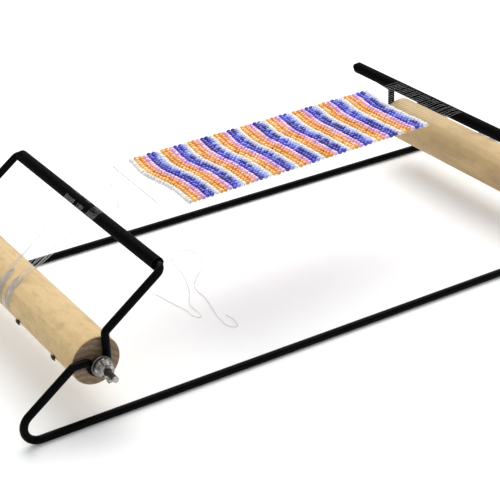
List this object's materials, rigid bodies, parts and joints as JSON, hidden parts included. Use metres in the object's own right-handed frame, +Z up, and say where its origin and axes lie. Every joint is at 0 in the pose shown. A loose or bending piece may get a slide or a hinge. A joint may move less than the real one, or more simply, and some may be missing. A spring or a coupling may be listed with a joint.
{
  "type": "bead loom",
  "caption": "Tabletop bead loom: bent-wire frame on two rails, wooden thread rollers with wing nuts, sleeved thread guides and a loomed bead strip.",
  "frame": {"origin": "centre of the loom's bounding box at table level, loose thread left out", "axes": "+X along the loom to the right, +Y across it away from the wing nuts, +Z up from the table"},
  "size_m": [0.3004, 0.1452, 0.0596],
  "materials": {
    "wire": "glossy black lacquer on round steel wire",
    "guide": "matt black close-wound spring",
    "wood": "bare sanded pale dowel",
    "steel": "zinc plated",
    "zinc": "cast and plated, satin",
    "pin": "dark oiled steel",
    "thread": "waxed white thread",
    "beads": "shiny glass seed beads in coloured rows",
    "needle": "polished needle steel"
  },
  "bodies": {
    "frame": {"front_side_wire": "wire", "back_side_wire": "wire", "left_thread_guide": "guide", "right_thread_guide": "guide", "warp_threads": "thread"},
    "work": {"bead_strip": "beads", "beading_needle": "needle", "weft_thread_tail": "thread"},
    "left_roller": {"left_roller_dowel": "wood", "left_wing_stud": "steel", "left_stud_washer": "steel", "left_pivot_screw": "steel", "left_tie_pin_1": "pin", "left_tie_pin_2": "pin", "left_tie_pin_3": "pin", "left_tie_pin_4": "pin", "left_thread_winding_1": "thread", "left_thread_winding_2": "thread"},
    "left_nut": {"left_wing_nut": "zinc"},
    "right_roller": {"right_roller_dowel": "wood", "right_wing_stud": "steel", "right_stud_washer": "steel", "right_pivot_screw": "steel", "right_tie_pin_1": "pin", "right_tie_pin_2": "pin", "right_tie_pin_3": "pin", "right_tie_pin_4": "pin", "right_thread_winding_1": "thread", "right_thread_winding_2": "thread"},
    "right_nut": {"right_wing_nut": "zinc"}
  },
  "joints": [
    {"name": "left_roller_turn", "type": "hinge", "parent": "frame", "child": "left_roller", "pos_m": [-0.117, 0.00475, 0.0247], "axis": [0, 1, 0], "range_deg": [-95, 95]},
    {"name": "right_roller_turn", "type": "hinge", "parent": "frame", "child": "right_roller", "pos_m": [0.115, 0.00475, 0.0227], "axis": [0, 1, 0], "range_deg": [-95, 95]},
    {"name": "work_slide", "type": "slide", "parent": "frame", "child": "work", "axis": [0.9994, 0.0345, 0], "range_m": [-0.0179, 0.0179]},
    {"name": "left_wing_nut_turn", "type": "hinge", "parent": "left_roller", "child": "left_nut", "pos_m": [-0.117, -0.06185, 0.0247], "axis": [0, -1, 0], "range_deg": [0, 450]},
    {"name": "right_wing_nut_turn", "type": "hinge", "parent": "right_roller", "child": "right_nut", "pos_m": [0.115, -0.06185, 0.0227], "axis": [0, -1, 0], "range_deg": [0, 450]}
  ],
  "couplings": [
    {"joint": "right_roller_turn", "follows": "left_roller_turn", "ratio": 1},
    {"joint": "work_slide", "follows": "left_roller_turn", "m_per_rad": 0.0108}
  ]
}
